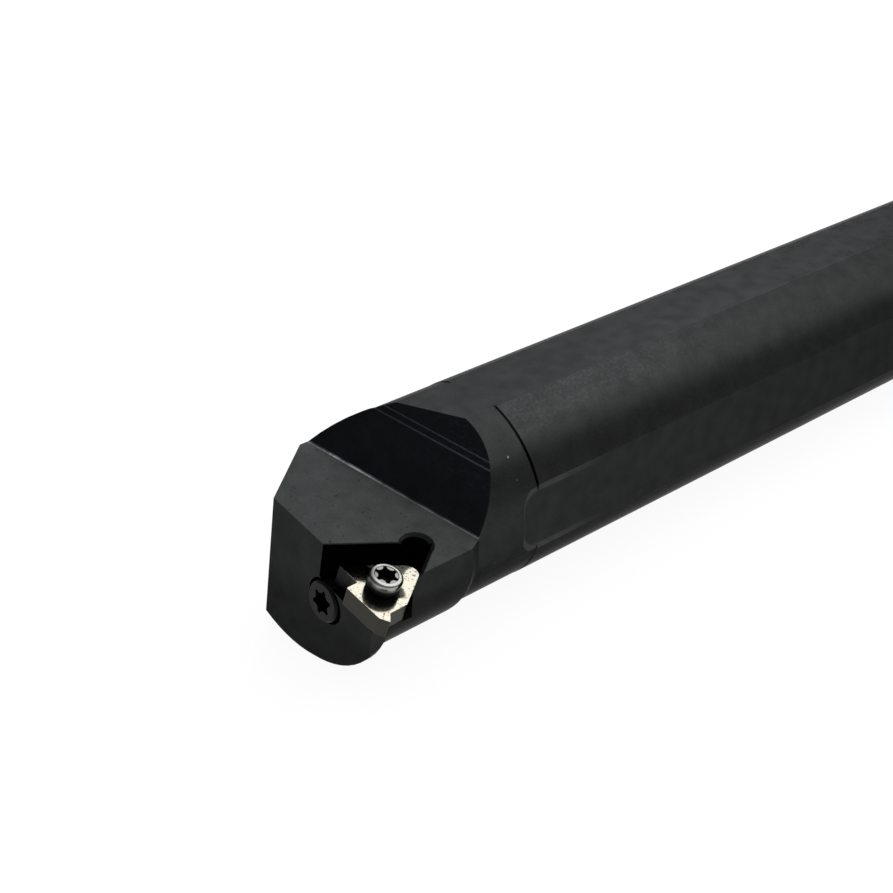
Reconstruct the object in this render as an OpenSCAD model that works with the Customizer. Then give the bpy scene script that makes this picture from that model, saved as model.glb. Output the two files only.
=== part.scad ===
// Threading tool holder: a round steel bar for cutting threads inside a bore, with its laydown insert.
// Origin: centre of the shank's rear face. +X points out of that face, away from the head.
// +Z is the normal of the top flat. The insert is on the -Y side, at the front end.

/* [Shank] */
// Length of the whole holder, from the front face to the rear face
bar_l = 250; // [200:5:300]
// Diameter of the ground shank
shank_d = 32; // [31.6:0.1:33]
// Width over the top and bottom flats
flats_w = 30; // [29:0.1:31]
// Chamfer round the rear face
rear_chamfer = 1; // [0.5:0.1:2]
// Distance from the front face to the front edge of the shank
neck_l = 32.4; // [31:0.1:36]
// How far the neck lies below the shank's surface
neck_step = 0.07; // [0.04:0.01:0.15]
// Width of the groove in front of the shank
groove_w = 0.3; // [0.2:0.05:0.6]
// Depth of that groove below the neck
groove_depth = 0.15; // [0.05:0.05:0.3]
// Distance from the front face to the front end of the side flat
side_flat_x = 28.7; // [27:0.1:31]
// Distance from the front face to the front end of the bottom flat, behind the head
bottom_flat_x = 20.5; // [20:0.1:32]
// Radius of the side flat's front corners
flat_corner_r = 3.4; // [2:0.1:5]

/* [Head] */
// Diameter of the arc on the cutting side
head_d = 38.9; // [38.4:0.1:39.4]
// Sideways offset of that arc's axis from the bar's axis
head_y = 2.73; // [2.5:0.02:2.9]
// Upward offset of that arc's axis from the bar's axis
head_z = 1.29; // [1:0.02:1.5]
// Diameter of the arc on the back side
back_side_d = 36; // [35.6:0.1:36.4]
// Sideways offset of the back side's axis from the bar's axis
back_side_y = -0.32; // [-0.5:0.02:-0.1]
// Upward offset of the back side's axis from the bar's axis
back_side_z = -2.32; // [-2.5:0.02:-2.1]
// Distance from the front face to the middle of the ramp behind the head
ramp_x = 19; // [18.5:0.1:19.5]
// Diameter of the ramp at its middle
ramp_d = 32.3; // [32:0.1:32.6]
// Upward offset of the ramp's axis from the bar's axis
ramp_z = -0.35; // [-0.6:0.05:0]
// Slope of the ramp from the head down to the neck
ramp_angle = 25.5; // [22:0.5:30]
// Tilt of the ramp towards the front at its top
ramp_pitch = 5.5; // [2:0.5:8]
// Tilt of the whole head about the bar's axis, towards the cutting side
rake = 11; // [8:0.5:14]
// Height of the table above the head's centre plane
table_z = 5; // [4.6:0.05:5.4]
// Distance from the middle to the left edge of the front face
nose_y = 7.95; // [7:0.05:9]
// Angle of the cut that runs back from that edge
nose_angle = 37.3; // [34:0.1:41]

/* [Front lip] */
// Diameter of the lip round the bottom of the front face
lip_d = 40; // [39.4:0.1:40.6]
// Sideways offset of the lip's axis
lip_y = 1.55; // [1.3:0.05:1.8]
// Upward offset of the lip's axis
lip_z = 2.07; // [1.8:0.05:2.3]
// Length of the lip's straight part
lip_l = 1.2; // [0.8:0.1:2]
// Slope from the lip back to the head
lip_angle = 38; // [30:1:45]
// Chamfer round the lip's front edge
lip_chamfer = 0.2; // [0.1:0.05:0.6]
// Distance from the middle to the clearance cut under the tooth, at the front face
clearance_y = 16.2; // [15.8:0.05:16.6]
// Angle between the clearance cut and the front face
clearance_angle = 40.3; // [35:0.1:45]

/* [Gullet] */
// Distance from the front face to the back edge of the table
gullet_x = 15.64; // [15:0.02:16.4]
// Turn of the gullet about the vertical
gullet_turn = 13.2; // [10:0.1:16]
// Slope of the gullet's wall above the table
gullet_angle = 49; // [45:0.1:52]
// Height of the first cutter mark above the table
mark_z = 7; // [6.6:0.1:8]
// Spacing of the cutter marks
mark_gap = 0.76; // [0.5:0.02:1]
// Depth of each cutter mark
mark_depth = 0.08; // [0.05:0.01:0.2]

/* [Insert] */
// Radius of the circle that fits in the insert's three sides
insert_r = 4.42; // [4.2:0.02:4.6]
// Thickness of the insert
insert_t = 3.1; // [2.9:0.05:3.5]
// How far the insert sits turned in its pocket
insert_spin = 5; // [4:0.1:6]
// Radius of the insert's plain corner
corner_r = 1.62; // [1.4:0.02:1.8]
// Distance from the insert's middle to the tip of the tooth, along its front side
tooth_v = 5.84; // [5.6:0.02:6.1]
// Distance from the insert's front side to the tip of the tooth
tooth_u = 0.94; // [0.8:0.02:1.1]
// Distance along the front side from the middle to the root of the tooth
tooth_root_v = 4.43; // [4.2:0.02:4.6]
// Distance from the tooth's tip to its inner root, away from the front side
tooth_root_u = 1.13; // [1:0.02:1.3]
// Radius of the tooth's tip
tip_r = 0.16; // [0.1:0.02:0.3]
// Depth of the notch at the insert's third corner
notch_u = 2.1; // [1.9:0.05:2.3]
// Distance along the front side from the middle to that notch
notch_v = 2.44; // [2.2:0.02:2.7]
// Radius of the hole through the insert
insert_hole_r = 1.95; // [1.85:0.05:2.1]
// Radius of the countersink at the insert's top
sink_r = 2.5; // [2.3:0.05:2.7]
// Radius at the end of the front side, above the notch
heel_r = 0.25; // [0.15:0.05:0.35]
// Radius where the front side runs out into the tooth
tooth_root_r = 0.6; // [0.4:0.05:0.8]
// Radius at the tooth's inner root
tooth_foot_r = 0.12; // [0.08:0.02:0.2]
// How far the tooth's inner root lies past its outer root
tooth_foot_drop = 0.1; // [0.05:0.01:0.15]
// Radius where the tooth's side meets the near side
shoulder_r = 0.2; // [0.1:0.05:0.3]
// Radius of the point between the notch and the back side
horn_r = 0.15; // [0.1:0.05:0.2]
// Radius in the notch's inner corner
notch_r = 0.12; // [0.08:0.02:0.2]

/* [Pocket] */
// Distance from the front face to the insert's middle
seat_x = 4.43; // [4.2:0.02:4.7]
// Distance from the bar's middle to the insert's middle
seat_y = 12.08; // [11.8:0.02:12.4]
// Height of the insert's top at its middle
seat_z = 0.8; // [0.6:0.05:1]
// Tilt of the seat towards the cutting side
seat_roll = 5.17; // [3.5:0.05:6.5]
// Dip of the seat towards the rear
seat_dip = 5.88; // [4.5:0.05:7]
// Direction of the back wall's normal in the seat
back_a = 59.6; // [58:0.1:61]
// Gap between the back wall and the insert's circle
back_gap = 0.32; // [0.3:0.02:0.5]
// Direction of the outer wall's normal in the seat
outer_a = -54.6; // [-56:0.1:-54]
// Gap between the outer wall and the insert's circle
outer_gap = 0.16; // [0.1:0.02:0.3]
// Radius of the relief hole in the pocket's corner
relief_r = 2.1; // [2:0.05:2.3]
// Distance from the insert's middle to the relief hole, along the seat
relief_u = 6.3; // [6.1:0.02:6.5]
// Distance from the insert's middle to the relief hole, across the seat
relief_v = 1.31; // [1.2:0.02:1.4]
// Depth of the relief hole below the pocket's floor
relief_depth = 0.6; // [0.3:0.1:1.2]
// Bevel round the relief hole and along the outer wall
bevel = 0.55; // [0.3:0.05:0.7]
// Bevel along the back wall
back_bevel = 0.2; // [0.1:0.05:0.4]

/* [Insert screw] */
// Distance from the insert's middle to the screw's axis, along the seat
screw_u = 0.2; // [0:0.02:0.3]
// Distance from the insert's middle to the screw's axis, across the seat
screw_v = -0.22; // [-0.3:0.02:0]
// Radius of the insert screw's head
screw_head_r = 2.56; // [2.3:0.02:2.7]
// Height of that head's top above the insert
screw_proud = 2.64; // [2.2:0.02:3]
// Height above the insert at which the head's cone ends
screw_low = 0.95; // [0.7:0.05:1.2]
// Radius of the rounding round the head's top
screw_round = 0.55; // [0.4:0.05:0.6]
// Radius of the insert screw's thread
screw_r = 1.7; // [1.5:0.05:1.8]
// Length of the insert screw below the insert's top
screw_l = 9; // [7:0.5:10]
// Width across the insert screw's six-lobe socket
screw_socket = 3.45; // [3:0.05:3.7]
// Depth of that socket
screw_socket_depth = 1.7; // [1.2:0.1:2]

/* [Front screw] */
// Radius of the front screw's head
front_head_r = 3.22; // [3:0.02:3.4]
// Length of the front screw's head
front_head_l = 3; // [2.4:0.1:3.6]
// How far the head stands out of the front face
front_proud = 0.56; // [0.3:0.02:0.8]
// Radius of the front screw's thread
front_r = 2; // [1.8:0.05:2.3]
// Length of the front screw behind its head
front_l = 8; // [6:0.5:10]
// Distance from the insert's middle to the front screw's axis, across the seat
front_v = 6; // [5.8:0.05:6.2]
// Width across the front screw's six-lobe socket
front_socket = 4; // [3.6:0.05:4.4]
// Depth of that socket
front_socket_depth = 1.8; // [1.2:0.1:2.4]
// Chamfer on the front edge of the front screw's head
front_edge = 0.3; // [0.2:0.05:0.5]
// Gap round the front screw's head in its counterbore
bore_gap = 0.48; // [0.3:0.02:0.6]

/* [Fits] */
// Gap between a screw's thread and its hole
thread_gap = 0.05; // [0.02:0.01:0.1]
// Gap between the front screw's head and the underside of the insert
under_gap = 0.26; // [0.2:0.01:0.4]
// Gap between the insert screw's head and the insert's countersink
sink_gap = 0.5; // [0.3:0.05:0.6]

/* [Hidden] */
$fn = 96;
eps = 0.01;

shank_r = shank_d / 2;
flat_d = flats_w / 2;
neck_r = shank_r - neck_step;
head_r = head_d / 2;
back_side_r = back_side_d / 2;
ramp_r = ramp_d / 2;
lip_r = lip_d / 2;

// Cuts that leave the part altogether run this far
reach = 2 * shank_d;
// Where the neck starts, hidden inside the head
neck_x = ramp_x - 1;
// How far the ramp goes down past the neck's surface, so that it ends inside the neck
ramp_drop = 3;

// Distance of the two pocket walls from the insert's middle
back_d = insert_r + back_gap;
outer_d = insert_r + outer_gap;
// Depth of the front screw's axis below the insert's top
front_w = insert_t + under_gap + front_head_r;

// Angle between the normals of two neighbouring sides of the insert's triangle
side_a = 60;
// Parts of a fillet's arc
arc_parts = 6;
// Room left beyond the end of each screw's thread
hole_end = 1;
// Chamfer on the end of each screw's thread
tip_chamfer = 0.4;
// Chamfer on the rims of the screws' heads and sockets
rim = 0.1;
// Radius of a six-lobe socket's flutes and of the circle inside them, as shares of its width
flute_share = 0.21;
waist_share = 0.355;
// How far the side flat's cutter reaches past the flat's edges
flat_over = 0.05;

colour_body = "#2f3133";
colour_insert = "#c9c2a2";
colour_bright = "#b8b8b6";
colour_black = "#1c1d1f";

// Direction of an angle in the plane
function dir(a) = [cos(a), sin(a)];

// Point where two lines meet; each line is given by its normal's direction and its distance
function meet(a1, d1, a2, d2) = [d1 * sin(a2) - d2 * sin(a1), d2 * cos(a1) - d1 * cos(a2)] / sin(a2 - a1);

// Point on a line given by its normal's direction and distance, nearest to p
function foot(p, a, d) = p + (d - p * dir(a)) * dir(a);

// Arc of a circle about c from angle a1 to a2
function arc(c, r, a1, a2) = [for (i = [0:arc_parts]) c + r * dir(a1 + (a2 - a1) * i / arc_parts)];

// Vector of length 1
function unit(v) = v / norm(v);

// Corner b between a and c, rounded to radius r
function rounded(a, b, c, r) =
    let (
        to_a = unit(a - b),
        to_c = unit(c - b),
        half = acos(to_a * to_c) / 2,
        centre = b + unit(to_a + to_c) * r / sin(half),
        start = b + to_a * r / tan(half) - centre,
        end = b + to_c * r / tan(half) - centre,
        a1 = atan2(start.y, start.x),
        turn = atan2(end.y, end.x) - a1,
        short = turn > 180 ? turn - 360 : turn < -180 ? turn + 360 : turn
    )
    arc(centre, r, a1, a1 + short);

// Point of the seat, given in the head's frame
function seat_to_head(p) =
    let (
        y = p.y * cos(seat_roll) - p.z * sin(seat_roll),
        z = p.y * sin(seat_roll) + p.z * cos(seat_roll)
    )
    [
        seat_x + p.x * cos(seat_dip) + z * sin(seat_dip),
        -seat_y + y,
        seat_z - p.x * sin(seat_dip) + z * cos(seat_dip)
    ];

// Point of the seat's plan, carried along the seat's normal up to the table
function on_table(p) =
    let (
        low = seat_to_head([p.x, p.y, 0]),
        high = seat_to_head([p.x, p.y, 1]),
        up = (table_z - low.z) / (high.z - low.z)
    )
    low + (high - low) * up;

// The front face's frame: x runs back from the front face
module at_front() translate([-bar_l, 0, 0]) children();

// The head's frame: the table is parallel to its XY plane
module at_head() at_front() rotate([rake, 0, 0]) children();

// The seat's frame: origin on the insert's top at its middle, z out of the seat
module at_seat() at_head() translate([seat_x, -seat_y, seat_z]) rotate([seat_roll, seat_dip, 0]) children();

// The insert screw's frame: origin where its axis meets the insert's top
module at_screw() at_seat() translate([screw_u, screw_v, 0]) children();

// Turns a shape that stands on Z so that it lies along X
module along_x() rotate([0, 90, 0]) children();

// Six-lobe socket of the given width, sunk from z = 0
module six_lobe(width, depth) {
    flute_r = width * flute_share;
    waist_r = width * waist_share;
    translate([0, 0, -depth]) difference() {
        cylinder(h = depth + eps, d = width);
        for (i = [0:5]) rotate(60 * i + 30) translate([waist_r + flute_r, 0, -eps])
            cylinder(h = depth + 3 * eps, r = flute_r);
    }
    translate([0, 0, -depth - waist_r / 2]) cylinder(h = waist_r / 2 + eps, r1 = eps, r2 = waist_r);
}

// Shank, groove and neck, turned about the bar's axis
module turned_bar() {
    profile = [
        [0, neck_x],
        [neck_r, neck_x],
        [neck_r, neck_l - groove_w],
        [neck_r - groove_depth, neck_l - groove_w],
        [neck_r - groove_depth, neck_l],
        [shank_r, neck_l],
        [shank_r, bar_l - rear_chamfer],
        [shank_r - rear_chamfer, bar_l],
        [0, bar_l]
    ];
    at_front() rotate([90, 0, 90]) rotate_extrude() polygon(profile);
}

// Head: where the arc of the cutting side meets the arc of the back side, with the ramp behind them
module head_blank() {
    ramp_l = ramp_drop / tan(ramp_angle);
    blank_l = ramp_x + ramp_l + 2;
    at_head() intersection() {
        translate([0, head_y, head_z]) along_x() cylinder(h = blank_l, r = head_r);
        translate([0, back_side_y, back_side_z]) along_x() cylinder(h = blank_l, r = back_side_r);
        translate([ramp_x, 0, ramp_z]) rotate([0, ramp_pitch, 0]) along_x() translate([0, 0, -reach])
            cylinder(h = reach + ramp_l, r1 = ramp_r + reach * tan(ramp_angle), r2 = ramp_r - ramp_drop);
    }
}

// Lip round the lower front of the head
module lip_blank() {
    root_r = neck_r - 3;
    profile = [
        [0, 0],
        [lip_r - lip_chamfer, 0],
        [lip_r, lip_chamfer],
        [lip_r, lip_l],
        [root_r, lip_l + (lip_r - root_r) / tan(lip_angle)],
        [0, lip_l + (lip_r - root_r) / tan(lip_angle)]
    ];
    at_head() translate([0, lip_y, lip_z]) rotate([90, 0, 90]) rotate_extrude() polygon(profile);
}

// Cutter for one flat, with rounded front corners; the flat's normal is +Z
module flat_cutter(from_x, corner) {
    half_w = sqrt(pow(shank_r, 2) - pow(flat_d, 2)) + flat_over;
    length = bar_l - from_x + 1;
    translate([from_x, 0, flat_d]) linear_extrude(height = shank_r) {
        translate([corner, -half_w]) square([length - corner, 2 * half_w]);
        translate([0, corner - half_w]) square([length, 2 * (half_w - corner)]);
        for (side = [-1, 1]) translate([corner, side * (half_w - corner)]) circle(r = corner);
    }
}

// Top flat into the gullet, side flat, and bottom flat through the neck
module flats() {
    at_front() {
        translate([neck_x, -shank_r, flat_d]) cube([bar_l, shank_d, shank_r]);
        rotate([90, 0, 0]) flat_cutter(side_flat_x, flat_corner_r);
        translate([bottom_flat_x, -shank_r, -flat_d - shank_r]) cube([bar_l, shank_d, shank_r]);
    }
}

// Room above the table and in front of the gullet's sloping wall, with two fine cutter marks
module gullet() {
    slope = 1 / tan(gullet_angle);
    run = function (z) gullet_x + (z - table_z) * slope;
    z1 = table_z + mark_z;
    z2 = z1 + mark_gap;
    top = head_r + shank_r;
    profile = [
        [-reach, table_z],
        [gullet_x, table_z],
        [run(z1), z1],
        [run(z1) + mark_depth, z1],
        [run(z2) + mark_depth, z2],
        [run(z2) + 2 * mark_depth, z2],
        [run(top) + 2 * mark_depth, top],
        [-reach, top]
    ];
    at_head() rotate([90, 0, gullet_turn]) linear_extrude(height = 2 * reach, center = true) polygon(profile);
}

// Cut behind the left edge of the front face
module nose_cut() {
    at_head() translate([0, nose_y, -reach / 2]) rotate(nose_angle)
        translate([-reach, 0, 0]) cube([2 * reach, reach, reach]);
}

// Clearance cut under the tooth
module clearance_cut() {
    at_head() translate([0, -clearance_y, -reach / 2]) rotate(-90 + clearance_angle)
        translate([-reach, -reach, 0]) cube([2 * reach, reach, reach]);
}

// Block that cuts a bevel along the table's edge from p to q; it leans over the pocket by the given angle
module bevel_block(p, q, size, lean) {
    run = q - p;
    translate(p) rotate([0, 0, atan2(run.y, run.x)]) rotate([lean, 0, 0])
        translate([0, -2 * size, -size * sin(45)]) cube([norm(run), 4 * size, 3 * size]);
}

// Pocket for the insert: floor, two walls, corner relief and bevels
module pocket() {
    apex = meet(outer_a, outer_d, back_a, back_d);
    back_run = dir(back_a + 90);
    outer_run = dir(outer_a - 90);
    relief = [relief_u, relief_v];
    rim = on_table(relief);
    back_foot = foot(relief, back_a, back_d);
    outer_foot = foot(relief, outer_a, outer_d);
    at_seat() {
        translate([0, 0, -insert_t]) linear_extrude(height = reach)
            polygon([apex, apex + reach * back_run, apex + reach * outer_run]);
        translate([relief_u, relief_v, -insert_t - relief_depth]) cylinder(h = reach, r = relief_r);
    }
    at_head() {
        translate([rim.x, rim.y, table_z - bevel]) cylinder(h = 2 * bevel, r1 = relief_r, r2 = relief_r + 2 * bevel);
        bevel_block(on_table(outer_foot), on_table(outer_foot + shank_r * outer_run), bevel, 45);
        bevel_block(on_table(back_foot), on_table(back_foot + shank_r * back_run), back_bevel, -45);
    }
}

// Tapped hole for the insert screw, and counterbored hole for the front screw
module screw_holes() {
    at_screw() translate([0, 0, -screw_l - hole_end]) cylinder(h = screw_l + hole_end, r = screw_r + thread_gap);
    at_front_screw() {
        translate([0, 0, -front_head_l]) cylinder(h = 2 * front_head_l + rim, r = front_head_r + bore_gap);
        cylinder(h = front_head_l + front_l + hole_end, r = front_r + thread_gap);
    }
}

// The front screw's frame: origin on the middle of its outer face, z along the screw into the head
module at_front_screw() at_seat() translate([front_face_u(), front_v, -front_w]) along_x() children();

// Where the front screw's outer face lies along the seat, so that it stands proud of the front face
function front_face_u() =
    let (
        at_zero = seat_to_head([0, front_v, -front_w]),
        at_one = seat_to_head([1, front_v, -front_w])
    )
    (-front_proud - at_zero.x) / (at_one.x - at_zero.x);

// Outline of the insert, with its tooth at the lower front and its notch at the upper front
function insert_outline() =
    let (
        front = -insert_r,
        heel = [front, notch_v],
        root = [front, -tooth_root_v],
        tip = [front + tooth_u, -tooth_v],
        inner = [tip.x + tooth_root_u, -tooth_root_v - tooth_foot_drop],
        shoulder = [(insert_r - inner.y * -sin(side_a)) / cos(side_a), inner.y],
        corner = [(insert_r - corner_r) / cos(side_a), 0],
        horn = [front + notch_u, (insert_r - (front + notch_u) * cos(side_a)) / sin(side_a)],
        inside = [horn.x, notch_v]
    )
    concat(
        rounded(inside, heel, root, heel_r),
        rounded(heel, root, tip, tooth_root_r),
        rounded(root, tip, inner, tip_r),
        rounded(tip, inner, shoulder, tooth_foot_r),
        rounded(inner, shoulder, corner + corner_r * dir(-side_a), shoulder_r),
        arc(corner, corner_r, -side_a, side_a),
        rounded(corner + corner_r * dir(side_a), horn, inside, horn_r),
        rounded(horn, inside, heel, notch_r)
    );

// Turned bar with its flats, gullet and the cuts on the head
module milled_bar() {
    difference() {
        union() {
            turned_bar();
            head_blank();
            lip_blank();
        }
        flats();
        gullet();
        nose_cut();
        clearance_cut();
    }
}

module holder() {
    color(colour_body) difference() {
        milled_bar();
        pocket();
        screw_holes();
    }
}

module threading_insert() {
    sink_depth = sink_r - insert_hole_r;
    color(colour_insert) difference() {
        at_seat() rotate(insert_spin) translate([0, 0, -insert_t])
            linear_extrude(height = insert_t) polygon(insert_outline());
        at_screw() {
            translate([0, 0, -insert_t - eps]) cylinder(h = insert_t + 2 * eps, r = insert_hole_r);
            translate([0, 0, -sink_depth]) cylinder(h = sink_depth + eps, r1 = insert_hole_r, r2 = sink_r + eps);
        }
    }
}

module insert_screw() {
    round_c = [screw_head_r - screw_round, screw_proud - screw_round];
    land_r = screw_socket / 2 + rim;
    profile = concat(
        [
            [0, -screw_l],
            [screw_r - tip_chamfer, -screw_l],
            [screw_r, tip_chamfer - screw_l],
            [screw_r, -sink_r + screw_r + sink_gap],
            [sink_r - sink_gap, 0],
            [screw_head_r - rim, screw_low - rim],
            [screw_head_r, screw_low]
        ],
        arc(round_c, screw_round, 0, 90),
        [
            [land_r, screw_proud],
            [land_r - rim, screw_proud - rim],
            [0, screw_proud - rim]
        ]
    );
    color(colour_bright) at_screw() difference() {
        rotate_extrude() polygon(profile);
        translate([0, 0, screw_proud - rim + eps]) six_lobe(screw_socket, screw_socket_depth);
    }
}

module front_screw() {
    profile = [
        [0, 0],
        [front_head_r - front_edge, 0],
        [front_head_r, front_edge],
        [front_head_r, front_head_l],
        [front_r, front_head_l],
        [front_r, front_head_l + front_l - tip_chamfer],
        [front_r - tip_chamfer, front_head_l + front_l],
        [0, front_head_l + front_l]
    ];
    color(colour_black) at_front_screw() difference() {
        rotate_extrude() polygon(profile);
        rotate([180, 0, 0]) six_lobe(front_socket, front_socket_depth);
    }
}

holder();
threading_insert();
insert_screw();
front_screw();
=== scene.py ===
"""Looks for the threading tool holder: finishes of its steel, insert and screws, and the studio round it."""

from __future__ import annotations

import logging
import math
from dataclasses import dataclass, field
from enum import Enum
from typing import Any, Sequence, Union

import bpy
from mathutils import Matrix, Vector


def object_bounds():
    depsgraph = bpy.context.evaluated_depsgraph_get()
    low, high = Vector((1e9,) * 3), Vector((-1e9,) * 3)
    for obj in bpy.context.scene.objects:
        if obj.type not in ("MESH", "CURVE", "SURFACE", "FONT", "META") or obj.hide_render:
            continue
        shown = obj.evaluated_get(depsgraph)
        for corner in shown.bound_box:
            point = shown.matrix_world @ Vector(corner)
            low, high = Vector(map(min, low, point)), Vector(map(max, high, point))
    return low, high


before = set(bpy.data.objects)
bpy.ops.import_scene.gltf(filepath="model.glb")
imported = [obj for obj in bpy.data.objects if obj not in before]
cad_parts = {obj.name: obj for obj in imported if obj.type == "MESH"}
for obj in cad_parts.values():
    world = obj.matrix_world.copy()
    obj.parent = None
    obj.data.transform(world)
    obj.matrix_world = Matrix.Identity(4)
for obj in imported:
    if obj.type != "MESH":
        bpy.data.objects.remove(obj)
CAD_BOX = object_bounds()

LOG = logging.getLogger("threading_tool_holder")
MM = 0.001

Colour = tuple[float, float, float]
Triple = tuple[float, float, float]
Span = tuple[float, float]
Value = Union[int, float, "Shade"]

UP = Vector((0, 0, 1))
FORWARD = Vector((-1, 0, 0))
INSERT_SIDE = Vector((0, -1, 0))

FLAT_FACING: Span = (0.996, 0.9995)
EDGE_TURN: Span = (0.965, 0.8)
BEVEL_SAMPLES = 6
NEAR_CORE = 0.35
SPOT_CORE = 0.4


class Axis(Enum):
    """The three axes of a frame."""

    X = 0
    Y = 1
    Z = 2


class Op(Enum):
    """Operations of Math and Vector Math nodes."""

    ADD = "ADD"
    SUBTRACT = "SUBTRACT"
    MULTIPLY = "MULTIPLY"
    MAXIMUM = "MAXIMUM"
    MINIMUM = "MINIMUM"
    ABSOLUTE = "ABSOLUTE"
    SQRT = "SQRT"
    SINE = "SINE"
    NORMALIZE = "NORMALIZE"


@dataclass(frozen=True)
class Place:
    """A turned and moved frame: its origin and its turn, in the row's frame, in millimetres."""

    origin: Vector
    turn: Matrix

    def axis(self, which: Axis) -> Vector:
        """Return one of the frame's axes as a unit vector in the row's frame."""
        return self.turn.col[which.value].copy()

    def moved(self, step: Triple) -> Place:
        """Return the same frame with its origin moved by a step given in the frame itself."""
        return Place(self.origin + self.turn @ Vector(step), self.turn)


class Shade:
    """A value that varies over a surface; arithmetic on it adds Math nodes to its tree."""

    def __init__(self, tree: Tree, socket: bpy.types.NodeSocket) -> None:
        """Wrap an output socket."""
        self.tree = tree
        self.socket = socket

    def __add__(self, other: Value) -> Shade:
        """Return the sum."""
        return self.tree.sum(Op.ADD, self, other)

    __radd__ = __add__

    def __sub__(self, other: Value) -> Shade:
        """Return the difference."""
        return self.tree.sum(Op.SUBTRACT, self, other)

    def __rsub__(self, other: Value) -> Shade:
        """Return the difference the other way round."""
        return self.tree.sum(Op.SUBTRACT, other, self)

    def __mul__(self, other: Value) -> Shade:
        """Return the product."""
        return self.tree.sum(Op.MULTIPLY, self, other)

    __rmul__ = __mul__

    def __abs__(self) -> Shade:
        """Return the value without its sign."""
        return self.tree.sum(Op.ABSOLUTE, self)

    def rise(self, low: float, high: float) -> Shade:
        """Return a mask that goes from 0 at the low value to 1 at the high one.

        Args:
            low: Where the mask is still 0; it may be above high, and the mask then falls.
            high: Where the mask has reached 1.

        Returns:
            The mask.
        """
        ramp = self.tree.add(
            "ShaderNodeMapRange",
            {"interpolation_type": "SMOOTHSTEP", "clamp": True},
            {"Value": self, "From Min": low, "From Max": high},
        )
        return Shade(self.tree, ramp.outputs["Result"])

    def near(self, middle: float, reach: float) -> Shade:
        """Return a mask that is 1 at a value and falls to 0 at a reach on either side."""
        return abs(self - middle).rise(reach, NEAR_CORE * reach)

    def toward(self, goal: float, mask: Shade) -> Shade:
        """Return this value blended towards a goal by a mask."""
        return self + (goal - self) * mask


class Tree:
    """A node tree, with short ways to add nodes to it."""

    def __init__(self, tree: bpy.types.NodeTree) -> None:
        """Take a node tree."""
        self.tree = tree

    def add(self, kind: str, settings: dict[str, Any], sockets: dict[Union[int, str], Any]) -> bpy.types.Node:
        """Add a node.

        Args:
            kind: The node's type.
            settings: Its settings, set before its sockets.
            sockets: Values or links of its input sockets.

        Returns:
            The node.
        """
        node = self.tree.nodes.new(kind)
        for name, value in settings.items():
            setattr(node, name, value)
        for name, value in sockets.items():
            self.feed(node.inputs[name], value)
        return node

    def feed(self, socket: bpy.types.NodeSocket, value: Any) -> None:
        """Link a shade or a socket to an input socket, or set its value."""
        if isinstance(value, Shade):
            self.tree.links.new(value.socket, socket)
        elif isinstance(value, bpy.types.NodeSocket):
            self.tree.links.new(value, socket)
        elif isinstance(value, (Vector, tuple)):
            socket.default_value = (*value, 1) if socket.type == "RGBA" else tuple(value)
        else:
            socket.default_value = value

    def sum(self, operation: Op, *terms: Value) -> Shade:
        """Return the result of a Math node on one to three values."""
        node = self.add("ShaderNodeMath", {"operation": operation.value}, dict(enumerate(terms)))
        return Shade(self, node.outputs[0])

    def arrow(self, operation: Op, *terms: Any) -> bpy.types.NodeSocket:
        """Return the vector result of a Vector Math node."""
        node = self.add("ShaderNodeVectorMath", {"operation": operation.value}, dict(enumerate(terms)))
        return node.outputs["Vector"]

    def scaled(self, vector: Any, factor: Value) -> bpy.types.NodeSocket:
        """Return a vector or a colour times a factor."""
        node = self.add("ShaderNodeVectorMath", {"operation": "SCALE"}, {0: vector, "Scale": factor})
        return node.outputs["Vector"]

    def dot(self, first: Any, second: Any) -> Shade:
        """Return the dot product of two vectors."""
        node = self.add("ShaderNodeVectorMath", {"operation": "DOT_PRODUCT"}, {0: first, 1: second})
        return Shade(self, node.outputs["Value"])

    def larger(self, first: Value, second: Value) -> Shade:
        """Return the larger of two values."""
        return self.sum(Op.MAXIMUM, first, second)

    def length(self, first: Shade, second: Shade) -> Shade:
        """Return the length of a vector from its two parts."""
        return self.sum(Op.SQRT, first * first + second * second)


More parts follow.
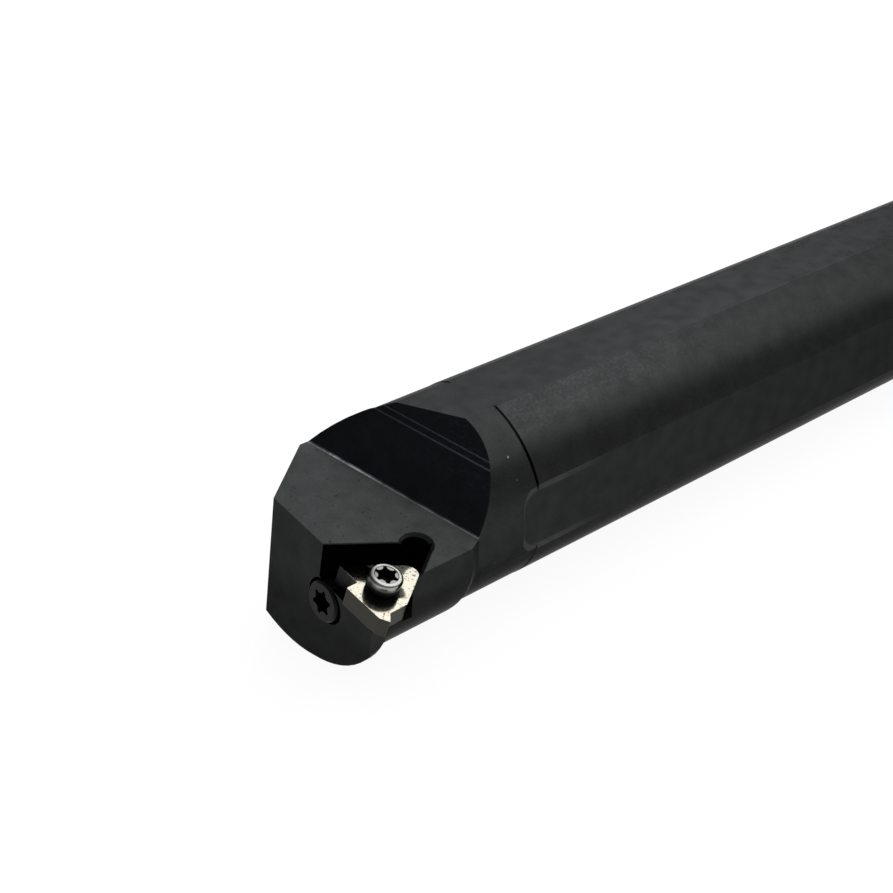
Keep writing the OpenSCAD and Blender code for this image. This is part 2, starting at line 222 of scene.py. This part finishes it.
class Bench(Tree):
    """One surface material's tree, with the shaded point's place in millimetres and its face's normal."""

    def __init__(self, name: str) -> None:
        """Open a new material under a name."""
        self.material = bpy.data.materials.new(name)
        self.material.use_nodes = True
        super().__init__(self.material.node_tree)
        self.shader = self.tree.nodes["Principled BSDF"]
        spot = self.add("ShaderNodeTexCoord", {}, {})
        self.where = self.scaled(spot.outputs["Object"], 1 / MM)
        self.facing = self.add("ShaderNodeNewGeometry", {}, {}).outputs["True Normal"]

    def far_along(self, way: Vector) -> Shade:
        """Return how far the shaded point lies along a direction from the row's origin."""
        return self.dot(self.where, way)

    def along(self, place: Place, axis: Axis) -> Shade:
        """Return the distance of the shaded point from a place's origin along one of its axes."""
        way = place.axis(axis)
        return self.far_along(way) - place.origin.dot(way)

    def faces(self, way: Vector, low: float = 0.985, high: float = 0.998) -> Shade:
        """Return a mask of the faces whose normal is near a direction."""
        return self.dot(self.facing, way).rise(low, high)

    def cloud(self, scale: float, detail: float = 2.0, stretch: Triple = (1, 1, 1)) -> Shade:
        """Return noise from 0 to 1.

        Args:
            scale: Waves in a millimetre.
            detail: Octaves.
            stretch: Factors on the three coordinates; a small one draws the pattern out along that axis.

        Returns:
            The noise.
        """
        spot = self.where if stretch == (1, 1, 1) else self.arrow(Op.MULTIPLY, self.where, stretch)
        noise = self.add("ShaderNodeTexNoise", {}, {"Vector": spot, "Scale": scale, "Detail": detail})
        return Shade(self, noise.outputs["Fac"])

    def waver(self, scale: float, detail: float = 2.0, stretch: Triple = (1, 1, 1)) -> Shade:
        """Return the same noise from -0.5 to 0.5."""
        return self.cloud(scale, detail, stretch) - 0.5

    def ray_from(self, place: Place) -> Shade:
        """Return the distance of the shaded point from a place's Z axis."""
        return self.length(self.along(place, Axis.X), self.along(place, Axis.Y))

    def spot(self, point: Triple, radius: float) -> Shade:
        """Return a mask of a small ball about a point, in millimetres."""
        node = self.add("ShaderNodeVectorMath", {"operation": "DISTANCE"}, {0: self.where, 1: Vector(point)})
        return Shade(self, node.outputs["Value"]).rise(radius, SPOT_CORE * radius)

    def colour(self, tint: Colour, tone: Value) -> bpy.types.NodeSocket:
        """Return a tint made lighter or darker by a tone."""
        return self.scaled(Vector(tint), tone)

    def mix(self, mask: Value, under: Any, over: Any) -> bpy.types.NodeSocket:
        """Return one colour laid over another by a mask."""
        return self.add("ShaderNodeMix", {"data_type": "RGBA"}, {0: mask, 6: under, 7: over}).outputs[2]

    def edges(self, radius: float) -> tuple[bpy.types.NodeSocket, Shade]:
        """Return the normals of edges rounded to a radius in millimetres, and a mask of those edges."""
        bevel = self.add("ShaderNodeBevel", {"samples": BEVEL_SAMPLES}, {"Radius": radius * MM})
        turn = self.dot(bevel.outputs["Normal"], self.facing)
        return bevel.outputs["Normal"], turn.rise(*EDGE_TURN)

    def relief(self, height: Shade, depth: float, normal: Any) -> bpy.types.NodeSocket:
        """Return the normal of a surface raised by a height of 0 to 1 times a depth in millimetres."""
        sockets = {"Strength": 1.0, "Distance": depth * MM, "Height": height, "Normal": normal}
        return self.add("ShaderNodeBump", {}, sockets).outputs["Normal"]

    def finish(self, **sockets: Any) -> bpy.types.Material:
        """Feed the shader's sockets, given with _ for each space, and return the material."""
        for name, value in sockets.items():
            words = " ".join(w.upper() if w == "ior" else w.capitalize() for w in name.split("_"))
            self.feed(self.shader.inputs[words], value)
        return self.material


@dataclass(frozen=True)
class HeadSizes:
    """Sizes of the holder that its finish follows, in millimetres and degrees."""

    length: float = 250.0
    rake: float = 11.0
    table_z: float = 5.0
    gullet_x: float = 15.64
    gullet_turn: float = 13.2
    gullet_angle: float = 49.0
    mark_z: float = 7.0
    mark_gap: float = 0.76
    seat: Triple = (4.43, -12.08, 0.8)
    seat_roll: float = 5.17
    seat_dip: float = 5.88
    back_a: float = 59.6
    back_d: float = 4.74
    outer_a: float = -54.6
    outer_d: float = 4.58
    relief: Triple = (6.3, 1.31, 0.0)
    relief_r: float = 2.1
    insert_t: float = 3.1
    front_bore: Triple = (0.0, 6.0, -6.58)
    front_bore_r: float = 3.7
    side_flat_x: float = 28.7
    flat_corner_r: float = 3.4
    flat_half_w: float = 5.57
    neck_l: float = 32.4

    def head_place(self) -> Place:
        """Return the head's frame: origin on the bar's axis at the front face, X backwards, Z off the table."""
        return Place(Vector((-self.length, 0, 0)), Matrix.Rotation(math.radians(self.rake), 3, "X"))

    def seat_place(self) -> Place:
        """Return the insert's frame: origin in the middle of its top, Z off the top."""
        head = self.head_place().moved(self.seat)
        dip = Matrix.Rotation(math.radians(self.seat_dip), 3, "Y")
        roll = Matrix.Rotation(math.radians(self.seat_roll), 3, "X")
        return Place(head.origin, head.turn @ dip @ roll)

    def front_place(self) -> Place:
        """Return the front screw's frame: its Z axis runs along the screw, into the holder."""
        seat = self.seat_place().moved(self.front_bore)
        return Place(seat.origin, seat.turn @ Matrix.Rotation(math.radians(90), 3, "Y"))

    def gullet_place(self) -> Place:
        """Return the gullet wall's frame: origin on the table's edge, Z off the wall, X up the wall."""
        turn, angle = math.radians(self.gullet_turn), math.radians(self.gullet_angle)
        up = Vector((math.cos(angle) * math.cos(turn), math.cos(angle) * math.sin(turn), math.sin(angle)))
        off = Vector((-math.sin(angle) * math.cos(turn), -math.sin(angle) * math.sin(turn), math.cos(angle)))
        head = self.head_place()
        foot = Vector((self.gullet_x * math.cos(turn), self.gullet_x * math.sin(turn), self.table_z))
        wall = Matrix((up, off.cross(up), off)).transposed()
        return Place(head.origin + head.turn @ foot, head.turn @ wall)


@dataclass(frozen=True)
class Nick:
    """A small mark in the finish: its place and radius in millimetres, and its tone."""

    point: Triple
    radius: float
    tone: float


@dataclass(frozen=True)
class BlackOxide:
    """Black oxide on turned and milled steel, with painted light and shade: each face toned as it faces the lamps,
    lighter edges that are partly wear and partly painted highlight, and painted shade in the pocket and its holes.
    """

    name: str = "black_oxide_steel"
    tint: Colour = (0.98, 1.0, 1.02)
    gullet_tint: Colour = (0.9, 0.96, 1.15)
    # Painted light: body, table, top flat, gullet wall and front face are one finish, each toned as it faces the
    # lamps.
    body: float = 0.029
    table: float = 0.036
    flat: float = 0.046
    gullet: float = 0.0165
    front: float = 0.036
    # Painted shade: near black in the pocket, its holes and at the neck's step.
    pocket: float = 0.0008
    # Painted highlight: tone round the side flat's front end.
    flat_rim: float = 0.05
    # Painted sheen with wear from rubbing: tone of the speckled strip beside the top flat.
    sheen_and_rub: float = 0.046
    metal: float = 0.75
    edge_tint: Colour = (0.32, 0.32, 0.32)
    # Edges: lighter, partly wear and partly painted highlight.
    edge: float = 0.06
    # Painted highlight: tone of the line where the table meets the gullet's wall.
    foot_highlight: float = 0.36
    mark_line: float = 0.06
    streak: float = 0.03
    # Painted shade: how much the front face darkens towards the bottom.
    front_low_shade: float = 0.3
    edge_r: float = 0.16
    bump_depth: float = 0.006
    roughness: float = 0.36
    level: float = 0.04
    nicks: Sequence[Nick] = (
        Nick((-221.21, -12.03, 10.42), 0.25, 0.2),
        Nick((-221.26, -14.08, 7.44), 0.16, 0.12),
        Nick((-250.0, 0.33, -8.29), 0.2, 0.05),
        Nick((-250.0, -3.54, -10.34), 0.25, 0.04),
        Nick((-232.09, -16.75, -0.49), 0.3, 0.05),
        Nick((-226.71, -15.41, -4.05), 0.3, 0.05),
        Nick((-220.87, 5.86, 14.8), 0.25, 0.12),
    )

    def material(self, sizes: HeadSizes) -> bpy.types.Material:
        """Make the material.

        Args:
            sizes: The holder's sizes, which the zones of the finish follow.

        Returns:
            The material.
        """
        bench = Bench(self.name)
        head, seat, wall = sizes.head_place(), sizes.seat_place(), sizes.gullet_place()
        height = bench.along(head, Axis.Z)
        off = bench.along(wall, Axis.Z)
        back, level = bench.along(head, Axis.X), bench.far_along(UP)
        on_table = bench.faces(head.axis(Axis.Z)) * height.near(sizes.table_z, 0.3)
        on_wall = bench.faces(wall.axis(Axis.Z), 0.93, 0.97) * height.rise(sizes.table_z - 0.1, sizes.table_z)
        on_front = bench.faces(FORWARD, 0.98, 0.995) * back.rise(0.6, 0.3)
        on_flat = bench.faces(UP, *FLAT_FACING)
        # Painted shade in the pocket and its holes.
        pocket_shade = self.pocket_shade_mask(bench, sizes, seat, height)

        mottle = bench.waver(0.35, 4.0)
        grain = bench.waver(3.2, 3.0)
        fine = bench.cloud(9.0, 2.0)
        # Painted light: each face toned as it faces the lamps; the table lighter towards the gullet's wall.
        tone = on_table * (self.table - self.body) + self.body
        tone = tone.toward(self.flat, on_flat)
        tone = tone.toward(self.front, on_front)
        tone = tone.toward(self.gullet, on_wall)
        tone = tone * (1 + on_table * off.rise(3.6, 0.0) * 0.25)
        # Painted shade: the front face darker towards the bottom.
        tone = tone * (1 - on_front * level.rise(-2.0, -11.0) * self.front_low_shade)
        tone = self.flat_end(bench, tone, back, sizes)
        tone = self.sheen_and_rub_strip(bench, tone, back, sizes)
        tone = tone * (1 + mottle * 0.7 + grain * 0.6)
        specks = bench.cloud(1.5, 1.0).rise(0.69, 0.74) * on_table
        tone = tone * (1 - specks * 0.45)

        # Edges lighter in patches: partly wear, partly painted highlight where they catch the light.
        rounded, edge = bench.edges(self.edge_r)
        patches = bench.cloud(0.8, 3.0).rise(0.3, 0.75)
        edge_wear_and_glint = edge * (patches * 0.7 + 0.3) * (1 - on_wall * 0.6) * back.rise(48.0, 34.0)
        tone = tone.toward(self.edge, edge_wear_and_glint)
        # Painted highlight along the foot of the gullet's wall.
        tone = tone.toward(self.foot_highlight, self.foot_highlight_mask(bench, wall, off, height, sizes))
        tone = self.cutter_marks(bench, tone, on_wall, wall, height, sizes)
        for nick in self.nicks:
            tone = tone.toward(nick.tone, bench.spot(nick.point, nick.radius))
        # Painted shade: a near black line at the neck's step to the shank, on the upper side and fainter towards the
        # top.
        step_shade = back.near(sizes.neck_l - 0.17, 0.34) * (1 - on_flat) * level.rise(4.5, 6.0)
        step_shade = step_shade * (1 - level.rise(9.0, 15.0) * 0.75)
        tone = tone.toward(self.pocket, bench.larger(pocket_shade, step_shade))

        rings = bench.cloud(2.2, 2.0, (1, 0.03, 0.03))
        bump = bench.relief(fine * 0.7 + rings * 0.3, self.bump_depth, rounded)
        rough = self.roughness + grain * 0.12 - edge * 0.08 + pocket_shade * 0.4 + on_wall * 0.1
        return bench.finish(
            base_color=bench.mix(on_wall, bench.colour(self.tint, tone), bench.colour(self.gullet_tint, tone)),
            metallic=self.metal,
            roughness=rough,
            specular_ior_level=self.level,
            specular_tint=self.edge_tint,
            normal=bump,
        )

    def pocket_shade_mask(self, bench: Bench, sizes: HeadSizes, seat: Place, height: Shade) -> Shade:
        """Return a mask of painted shade: the pocket's walls and floor, its relief hole and the front screw's bore,
        and a painted shadow strip on the holder's side along the pocket's outer wall.
        """
        u, v, w = (bench.along(seat, axis) for axis in Axis)
        slack = 0.06
        back_a, outer_a = math.radians(sizes.back_a), math.radians(sizes.outer_a)
        behind = u * math.cos(back_a) + v * math.sin(back_a)
        outside = u * math.cos(outer_a) + v * math.sin(outer_a)
        inside = behind.rise(sizes.back_d + slack, sizes.back_d + slack / 2)
        inside = inside * outside.rise(sizes.outer_d + slack, sizes.outer_d + slack / 2)
        inside = inside * w.rise(-sizes.insert_t - 2 * slack, -sizes.insert_t - slack)
        relief = bench.ray_from(seat.moved(sizes.relief)).rise(sizes.relief_r + slack, sizes.relief_r + slack / 2)
        relief = relief * w.rise(-sizes.insert_t - 1, -sizes.insert_t - 0.8)
        bore = bench.ray_from(sizes.front_place()).rise(sizes.front_bore_r + slack, sizes.front_bore_r + slack / 2)
        bore = bore * bench.along(sizes.head_place(), Axis.X).rise(0.02, 0.1) * w.rise(-11, -10.8)
        # Painted shadow: a strip on the holder's side along the pocket's outer wall, widening downwards.
        reach = 0.45 - w * 0.16
        clearance_shadow = (outside - reach).rise(sizes.outer_d + slack, sizes.outer_d - slack)
        clearance_shadow = clearance_shadow * outside.rise(sizes.outer_d, sizes.outer_d + 0.02) * w.rise(-3.5, -3.3)
        clearance_shadow = clearance_shadow * u.rise(5.2, 4.6) * height.rise(sizes.table_z - 2.6, sizes.table_z - 3.4)
        both = bench.larger(bench.larger(inside, clearance_shadow), relief)
        return bench.larger(both * height.rise(sizes.table_z - 0.05, sizes.table_z - 0.15), bore)

    def flat_end(self, bench: Bench, tone: Shade, back: Shade, sizes: HeadSizes) -> Shade:
        """Return the tone with a painted highlight on the cutter's run-out round the side flat's front end."""
        corner, half_w = sizes.flat_corner_r, sizes.flat_half_w
        ahead = bench.larger(sizes.side_flat_x + corner - back, 0.0)
        beside = abs(bench.far_along(UP))
        beside = bench.larger(beside - (half_w - corner), 0.0)
        inset = corner - bench.length(ahead, beside)
        on_side = bench.faces(INSERT_SIDE, *FLAT_FACING) * back.rise(48.0, 36.0)
        on_side = on_side * back.rise(sizes.side_flat_x - 0.4, sizes.side_flat_x - 0.1)
        on_side = on_side * bench.far_along(INSERT_SIDE).rise(15.15, 15.05)
        return tone.toward(self.flat_rim, on_side * inset.rise(1.15, 0.75))

    def sheen_and_rub_strip(self, bench: Bench, tone: Shade, back: Shade, sizes: HeadSizes) -> Shade:
        """Return the tone with a lighter, speckled strip beside the top flat, near the shank's front: painted sheen
        where the upper round surface faces the light, speckled with wear from rubbing.
        """
        strip = bench.far_along(UP).rise(10.5, 14.0) * bench.far_along(INSERT_SIDE).rise(4.0, 5.6)
        strip = strip * back.rise(sizes.neck_l, sizes.neck_l + 0.3) * back.rise(95.0, 45.0)
        speckle = bench.cloud(1.8, 4.0).rise(0.42, 0.7)
        return tone.toward(self.sheen_and_rub, strip * (speckle * 0.65 + 0.25))

    def foot_highlight_mask(self, bench: Bench, wall: Place, off: Shade, height: Shade, sizes: HeadSizes) -> Shade:
        """Return a mask of the painted highlight where the table meets the gullet's wall, patchy along its length.
        """
        beside = bench.along(wall, Axis.Y)
        line = abs(off).rise(0.24, 0.06) * height.near(sizes.table_z, 0.25)
        patch = bench.cloud(0.6, 4.0).rise(0.35, 0.62)
        strong = abs(beside - 6.0).rise(9.0, 2.0) * 0.75 + 0.25
        return line * (patch * 0.65 + 0.35) * strong

    def cutter_marks(
        self, bench: Bench, tone: Shade, on_wall: Shade, wall: Place, height: Shade, sizes: HeadSizes
    ) -> Shade:
        """Return the tone with the light lines along the cutter marks and the faint streaks below them."""
        rise = height - sizes.table_z
        first = rise.near(sizes.mark_z, 0.13)
        second = rise.near(sizes.mark_z + sizes.mark_gap, 0.1)
        near_side = bench.along(wall, Axis.Y).rise(4.0, -14.0)
        tone = tone.toward(self.mark_line, (first + second * 0.8) * on_wall * (near_side * 0.6 + 0.3))
        streaks = bench.cloud(3.0, 1.0, (1, 0.05, 1)).rise(0.5, 0.8) * rise.rise(3.0, 5.5) * near_side
        return tone.toward(self.streak, streaks * on_wall * 0.8)


@dataclass(frozen=True)
class CoatedCarbide:
    """Carbide with a polished pale gold top and ground grey sides, with painted light: a painted highlight on the
    top's rounded far corner, lighter rims on the side edges, and painted shade on the side faces at its cut-out
    corner.
    """

    name: str = "coated_carbide"
    gold: Colour = (0.44, 0.42, 0.345)
    # Painted highlight: lighter gold towards the top's rounded far corner.
    lit_lobe: Colour = (0.66, 0.63, 0.52)
    tilt: float = 0.42
    pit: Colour = (0.1, 0.095, 0.075)
    ground: Colour = (0.05, 0.047, 0.039)
    # Painted highlight: lighter rims along the side edges.
    rim: Colour = (0.16, 0.15, 0.12)
    # Painted shade: near black on the side faces at the cut-out corner.
    notch_shade: Colour = (0.003, 0.003, 0.003)
    polish: float = 0.11
    grind: float = 0.52
    level: float = 0.2
    edge_r: float = 0.07
    ripple_depth: float = 0.0012

    def material(self, sizes: HeadSizes) -> bpy.types.Material:
        """Make the material.

        Args:
            sizes: The holder's sizes, which give the insert's place.

        Returns:
            The material.
        """
        bench = Bench(self.name)
        seat = sizes.seat_place()
        top = bench.faces(seat.axis(Axis.Z), 0.9, 0.97) * bench.along(seat, Axis.Z).rise(-0.3, -0.05)
        pits = bench.cloud(2.6, 1.0).rise(0.6, 0.66)
        film = bench.waver(1.1, 3.0)
        grain = bench.waver(6.0)
        # Painted highlight: the top lighter and less metallic towards its rounded far corner, its normal leaned
        # there to mirror the lamp.
        lit_lobe = bench.along(seat, Axis.X).rise(0.6, 2.2)
        plain = bench.colour(self.gold, 1 + film * 0.3 + grain * 0.4)
        gold = bench.mix(pits * 0.8, bench.mix(lit_lobe, plain, self.lit_lobe), self.pit)
        lines = bench.waver(1.2, 2.0, (1, 1, 9))
        # Painted shade: near black on the side faces at the cut-out corner.
        in_notch_shade = bench.along(seat, Axis.Y).rise(3.0, 3.4)
        side = bench.mix(in_notch_shade, bench.colour(self.ground, 1 + lines * 0.3), self.notch_shade)
        rounded, edge = bench.edges(self.edge_r)
        # Painted highlight: lighter rims where the side edges catch the light.
        side = bench.mix(edge * 0.5, side, self.rim)
        lean = bench.scaled(seat.axis(Axis.X) * -self.tilt, top * lit_lobe)
        tilted = bench.arrow(Op.NORMALIZE, bench.arrow(Op.ADD, rounded, lean))
        rough = (bench.cloud(2.0) * 0.06 + self.grind).toward(self.polish, top)
        return bench.finish(
            base_color=bench.mix(top, side, gold),
            metallic=top * (1 - lit_lobe * 0.4),
            roughness=rough,
            specular_ior_level=self.level,
            normal=bench.relief(bench.cloud(5.0), self.ripple_depth, tilted),
        )


@dataclass(frozen=True)
class BrightSteel:
    """Bright turned steel of the insert screw, with painted shade: black in its socket and under its head, and
    darker on its left side and on the socket's lead-in.
    """

    name: str = "bright_turned_steel"
    steel: Colour = (0.34, 0.34, 0.325)
    # Painted shade: the colour inside the socket and below the head.
    shade_dark: Colour = (0.008, 0.008, 0.009)
    roughness: float = 0.24
    level: float = 0.1
    lathe_pitch: float = 60.0
    edge_r: float = 0.08
    bump_depth: float = 0.003
    proud: float = 2.64
    socket_r: float = 1.66
    low: float = 1.25
    axis: Triple = (0.2, -0.22, 0.0)

    def material(self, sizes: HeadSizes) -> bpy.types.Material:
        """Make the material.

        Args:
            sizes: The holder's sizes, which give the screw's place.

        Returns:
            The material.
        """
        bench = Bench(self.name)
        place = sizes.seat_place().moved(self.axis)
        up, out = bench.along(place, Axis.Z), bench.ray_from(place)
        # Painted shade: masks of the socket's inside and of the part below the head.
        socket = up.rise(self.proud - 0.115, self.proud - 0.15) * out.rise(self.socket_r + 0.14, self.socket_r + 0.1)
        under = up.rise(self.low + 0.75, self.low)
        turned = bench.sum(Op.SINE, out * self.lathe_pitch) * 0.5 + 0.5
        smear = bench.waver(1.6, 3.0)
        rounded, _ = bench.edges(self.edge_r)
        shade_dark = bench.larger(socket * 0.96, under)
        # Painted shade: darker on the screw's left side and on the socket's lead-in.
        left = bench.along(place, Axis.Y) * 0.66 - bench.along(place, Axis.X) * 0.75
        shaded = (1 - left.rise(0.9, 2.4) * 0.75) * (1 - out.rise(1.85, 1.75) * 0.4)
        base = bench.mix(shade_dark, bench.colour(self.steel, (1 + smear * 0.5) * shaded), self.shade_dark)
        return bench.finish(
            base_color=base,
            metallic=1 - shade_dark * 0.6,
            roughness=self.roughness + smear * 0.15 + shade_dark * 0.3,
            specular_ior_level=self.level,
            normal=bench.relief(turned * 0.4 + bench.cloud(6.0) * 0.6, self.bump_depth, rounded),
        )


@dataclass(frozen=True)
class BlackScrew:
    """Smooth black oxide of the front screw, with a painted highlight on the rim round its head and painted shade in
    its socket.
    """

    name: str = "black_oxide_screw"
    face: float = 0.008
    # Painted highlight: tone of the rim round the head.
    rim: float = 0.016
    side: float = 0.005
    # Painted shade: tone inside the socket.
    socket: float = 0.0006
    socket_r: float = 2.0
    face_depth: float = 4.6
    roughness: float = 0.34
    level: float = 0.09
    edge_r: float = 0.12
    ripple_depth: float = 0.003

    def material(self, sizes: HeadSizes) -> bpy.types.Material:
        """Make the material.

        Args:
            sizes: The holder's sizes, which give the screw's place.

        Returns:
            The material.
        """
        bench = Bench(self.name)
        place = sizes.front_place()
        out = bench.ray_from(place)
        on_face = bench.faces(place.axis(Axis.Z) * -1, 0.95, 0.99)
        grain = bench.waver(4.0, 3.0)
        rounded, edge = bench.edges(self.edge_r)
        tone = on_face * (self.face - self.side) + self.side
        tone = tone.toward(self.rim, edge * out.rise(2.4, 2.9))
        # Painted highlight on the head's rim edge above; painted shade inside the socket below.
        depth = bench.along(place, Axis.Z) + self.face_depth
        socket = depth.rise(-0.35, 0.1) * out.rise(self.socket_r + 0.05, self.socket_r - 0.02) * (1 - on_face)
        tone = (tone * (1 + grain * 0.4)).toward(self.socket, socket)
        return bench.finish(
            base_color=bench.colour((1, 1, 1), tone),
            roughness=self.roughness + grain * 0.12,
            specular_ior_level=self.level,
            normal=bench.relief(bench.cloud(7.0), self.ripple_depth, rounded),
        )


@dataclass(frozen=True)
class Viewpoint:
    """Where the photograph was taken from, in millimetres, and the lens that gives its view."""

    position: Triple = (-356.66, -154.90, 122.66)
    forward: Triple = (0.5704, 0.6595, -0.4895)
    up: Triple = (0.3254, 0.3657, 0.8720)
    lens: float = 62.38
    sensor: float = 36.0
    clip: Span = (0.01, 20.0)

    def build(self) -> bpy.types.Object:
        """Make the camera and set it as the scene's.

        Returns:
            The camera object.
        """
        data = bpy.data.cameras.new("view")
        data.sensor_fit = "HORIZONTAL"
        data.sensor_width = self.sensor
        data.lens = self.lens
        data.clip_start, data.clip_end = self.clip
        camera = bpy.data.objects.new("view", data)
        bpy.context.scene.collection.objects.link(camera)
        back = -Vector(self.forward).normalized()
        right = Vector(self.up).cross(back).normalized()
        up = back.cross(right)
        turn = Matrix((right, up, back)).transposed()
        camera.matrix_world = Matrix.Translation(Vector(self.position) * MM) @ turn.to_4x4()
        bpy.context.scene.camera = camera
        return camera


@dataclass(frozen=True)
class Softbox:
    """A square soft lamp: the way to it from its aim, its distance and size in metres, and its power."""

    name: str
    way: Triple
    distance: float
    size: float
    power: float
    aim: Triple = (-0.2, 0.0, 0.0)

    def build(self) -> bpy.types.Object:
        """Make the lamp.

        Returns:
            The lamp object.
        """
        data = bpy.data.lights.new(self.name, "AREA")
        data.shape = "SQUARE"
        data.size = self.size
        data.energy = self.power
        lamp = bpy.data.objects.new(self.name, data)
        way = Vector(self.way).normalized()
        spot = Vector(self.aim) + way * self.distance
        lamp.matrix_world = Matrix.Translation(spot) @ way.to_track_quat("Z", "Y").to_matrix().to_4x4()
        bpy.context.scene.collection.objects.link(lamp)
        return lamp


@dataclass
class Studio:
    """White floor, dim room and the soft lamps above and behind the object."""

    floor_size: float = 8.0
    floor_colour: Colour = (0.8, 0.8, 0.8)
    glow: float = 0.94
    shadow_share: float = 0.1
    low_light: float = 0.42
    high_light: float = 0.22
    horizon: Span = (0.1, 0.45)
    lamps: list[Softbox] = field(
        default_factory=lambda: [
            Softbox("overhead", (0.52, 0.0, 0.8), 0.9, 1.35, 11.5),
            Softbox("rear_fill", (0.62, 0.66, 0.42), 1.2, 0.6, 1.3),
        ]
    )

    def build(self) -> None:
        """Make the floor, the room's light and the lamps."""
        bpy.ops.object.select_all(action="DESELECT")
        bpy.ops.mesh.primitive_plane_add(size=self.floor_size, location=(0, 0, CAD_BOX[0][2]))
        floor = bpy.context.object
        floor.name = "floor"
        floor.data.materials.append(self.white_floor())
        LOG.info("floor built")
        self.room()
        for lamp in self.lamps:
            lamp.build()
            LOG.info("lamp %s built", lamp.name)

    def white_floor(self) -> bpy.types.Material:
        """Make the floor's material, white to the eye and in reflections, with a faint shadow."""
        material = bpy.data.materials.new("white_floor")
        material.use_nodes = True
        tree = Tree(material.node_tree)
        path = tree.add("ShaderNodeLightPath", {}, {})
        rays = ("Is Camera Ray", "Is Glossy Ray", "Is Transmission Ray")
        camera, glossy, through = (Shade(tree, path.outputs[name]) for name in rays)
        seen = tree.sum(Op.MINIMUM, camera + glossy + through, 1.0)
        share = self.shadow_share
        plain = tree.add("ShaderNodeBsdfDiffuse", {}, {"Color": self.floor_colour})
        faint = tree.add("ShaderNodeBsdfDiffuse", {}, {"Color": (share, share, share)})
        glow = tree.add("ShaderNodeEmission", {}, {"Color": (1, 1, 1), "Strength": self.glow})
        shown = tree.add("ShaderNodeAddShader", {}, {0: faint.outputs[0], 1: glow.outputs[0]})
        cover = tree.add("ShaderNodeMixShader", {}, {0: seen, 1: plain.outputs[0], 2: shown.outputs[0]})
        tree.feed(material.node_tree.nodes["Material Output"].inputs["Surface"], cover.outputs[0])
        return material

    def room(self) -> None:
        """Make the room's own light: pale at the horizon, dim overhead."""
        world = bpy.data.worlds.new("studio")
        world.use_nodes = True
        tree = Tree(world.node_tree)
        spot = tree.add("ShaderNodeTexCoord", {}, {})
        split = tree.add("ShaderNodeSeparateXYZ", {}, {0: spot.outputs["Generated"]})
        height = Shade(tree, split.outputs["Z"]).rise(*self.horizon)
        background = world.node_tree.nodes["Background"]
        tree.feed(background.inputs["Color"], (1, 1, 1))
        tree.feed(background.inputs["Strength"], height * (self.high_light - self.low_light) + self.low_light)
        bpy.context.scene.world = world


@dataclass
class ToolHolder:
    """The four pieces of the tool holder and the finish of each."""

    sizes: HeadSizes = field(default_factory=HeadSizes)
    finishes: dict[str, Any] = field(
        default_factory=lambda: {
            "holder": BlackOxide(),
            "threading_insert": CoatedCarbide(),
            "insert_screw": BrightSteel(),
            "front_screw": BlackScrew(),
        }
    )

    def dress(self) -> None:
        """Put each piece's finish in its material slots."""
        for name, finish in self.finishes.items():
            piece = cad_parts[name]
            piece.data.materials.clear()
            piece.data.materials.append(finish.material(self.sizes))
            LOG.info("%s dressed in %s", name, finish.name)


def main() -> None:
    """Build the studio and dress every piece."""
    logging.basicConfig(level=logging.INFO, format="%(message)s")
    bpy.context.scene.view_settings.view_transform = "Standard"
    Viewpoint().build()
    ToolHolder().dress()
    Studio().build()


if __name__ == "__main__":
    main()
